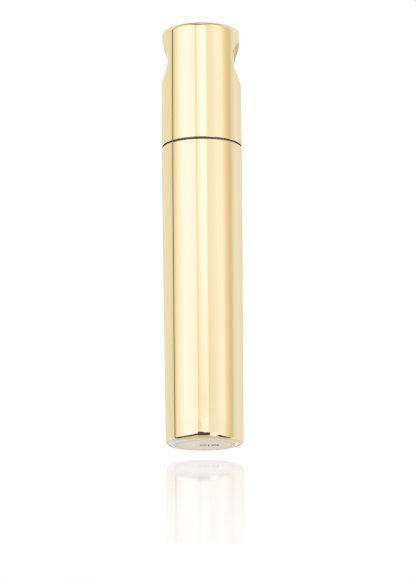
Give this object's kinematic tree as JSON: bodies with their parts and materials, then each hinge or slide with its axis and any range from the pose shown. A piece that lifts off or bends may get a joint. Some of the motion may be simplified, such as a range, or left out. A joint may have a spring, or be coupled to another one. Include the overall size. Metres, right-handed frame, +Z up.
{
  "type": "lipstick case",
  "caption": "Slim twist-up lipstick case: long round base, turning collar that raises the lipstick, and a short pull-off cap with a finger notch on each side.",
  "frame": {"origin": "centre of the flat foot that the closed case stands on", "axes": "+Z up the axis of the case towards the cap; the finger notches face +X and -X; the front faces -Y"},
  "size_m": [0.014, 0.014, 0.074],
  "materials": {
    "gold_shell": "mirror-polished, pale gold anodised",
    "stamped_disc": "satin, pale rose gold, stamped",
    "weight_steel": "turned, zinc plated",
    "ivory_plastic": "moulded ABS",
    "black_plastic": "moulded acetal",
    "white_plastic": "moulded acetal",
    "drawn_aluminium": "drawn, bright",
    "spring_steel": "bright spring steel",
    "black_rubber": "silicone rubber",
    "lipstick_wax": "satin lipstick wax"
  },
  "bodies": {
    "base": {"base_shell": "gold_shell", "base_disc": "stamped_disc", "base_weight": "weight_steel", "base_liner": "ivory_plastic", "base_bush": "black_plastic", "guide_foot": "ivory_plastic", "guide_tube": "drawn_aluminium", "stop_ring": "spring_steel", "slip_washer": "white_plastic"},
    "collar": {"collar_shell": "gold_shell", "spiral_cam": "white_plastic", "brake_ring": "black_rubber"},
    "carrier": {"carrier_cup": "white_plastic", "carrier_pins": "spring_steel", "lipstick_bullet": "lipstick_wax"},
    "cap": {"cap_shell": "gold_shell", "cap_core": "ivory_plastic", "cap_weight": "weight_steel", "cap_liner": "ivory_plastic", "cap_clip": "spring_steel"}
  },
  "joints": [
    {"name": "collar_swivel", "type": "hinge", "parent": "base", "child": "collar", "pos_m": [0, 0, 0.0529], "axis": [0, 0, 1], "range_deg": [0, 450]},
    {"name": "carrier_rise", "type": "slide", "parent": "base", "child": "carrier", "axis": [0, 0, 1], "range_m": [0, 0.016]},
    {"name": "cap_pull", "type": "slide", "parent": "base", "child": "cap", "axis": [0, 0, 1], "range_m": [0, 0.035]}
  ],
  "couplings": [
    {"joint": "collar_swivel", "follows": "carrier_rise", "rad_per_m": 490.87}
  ]
}
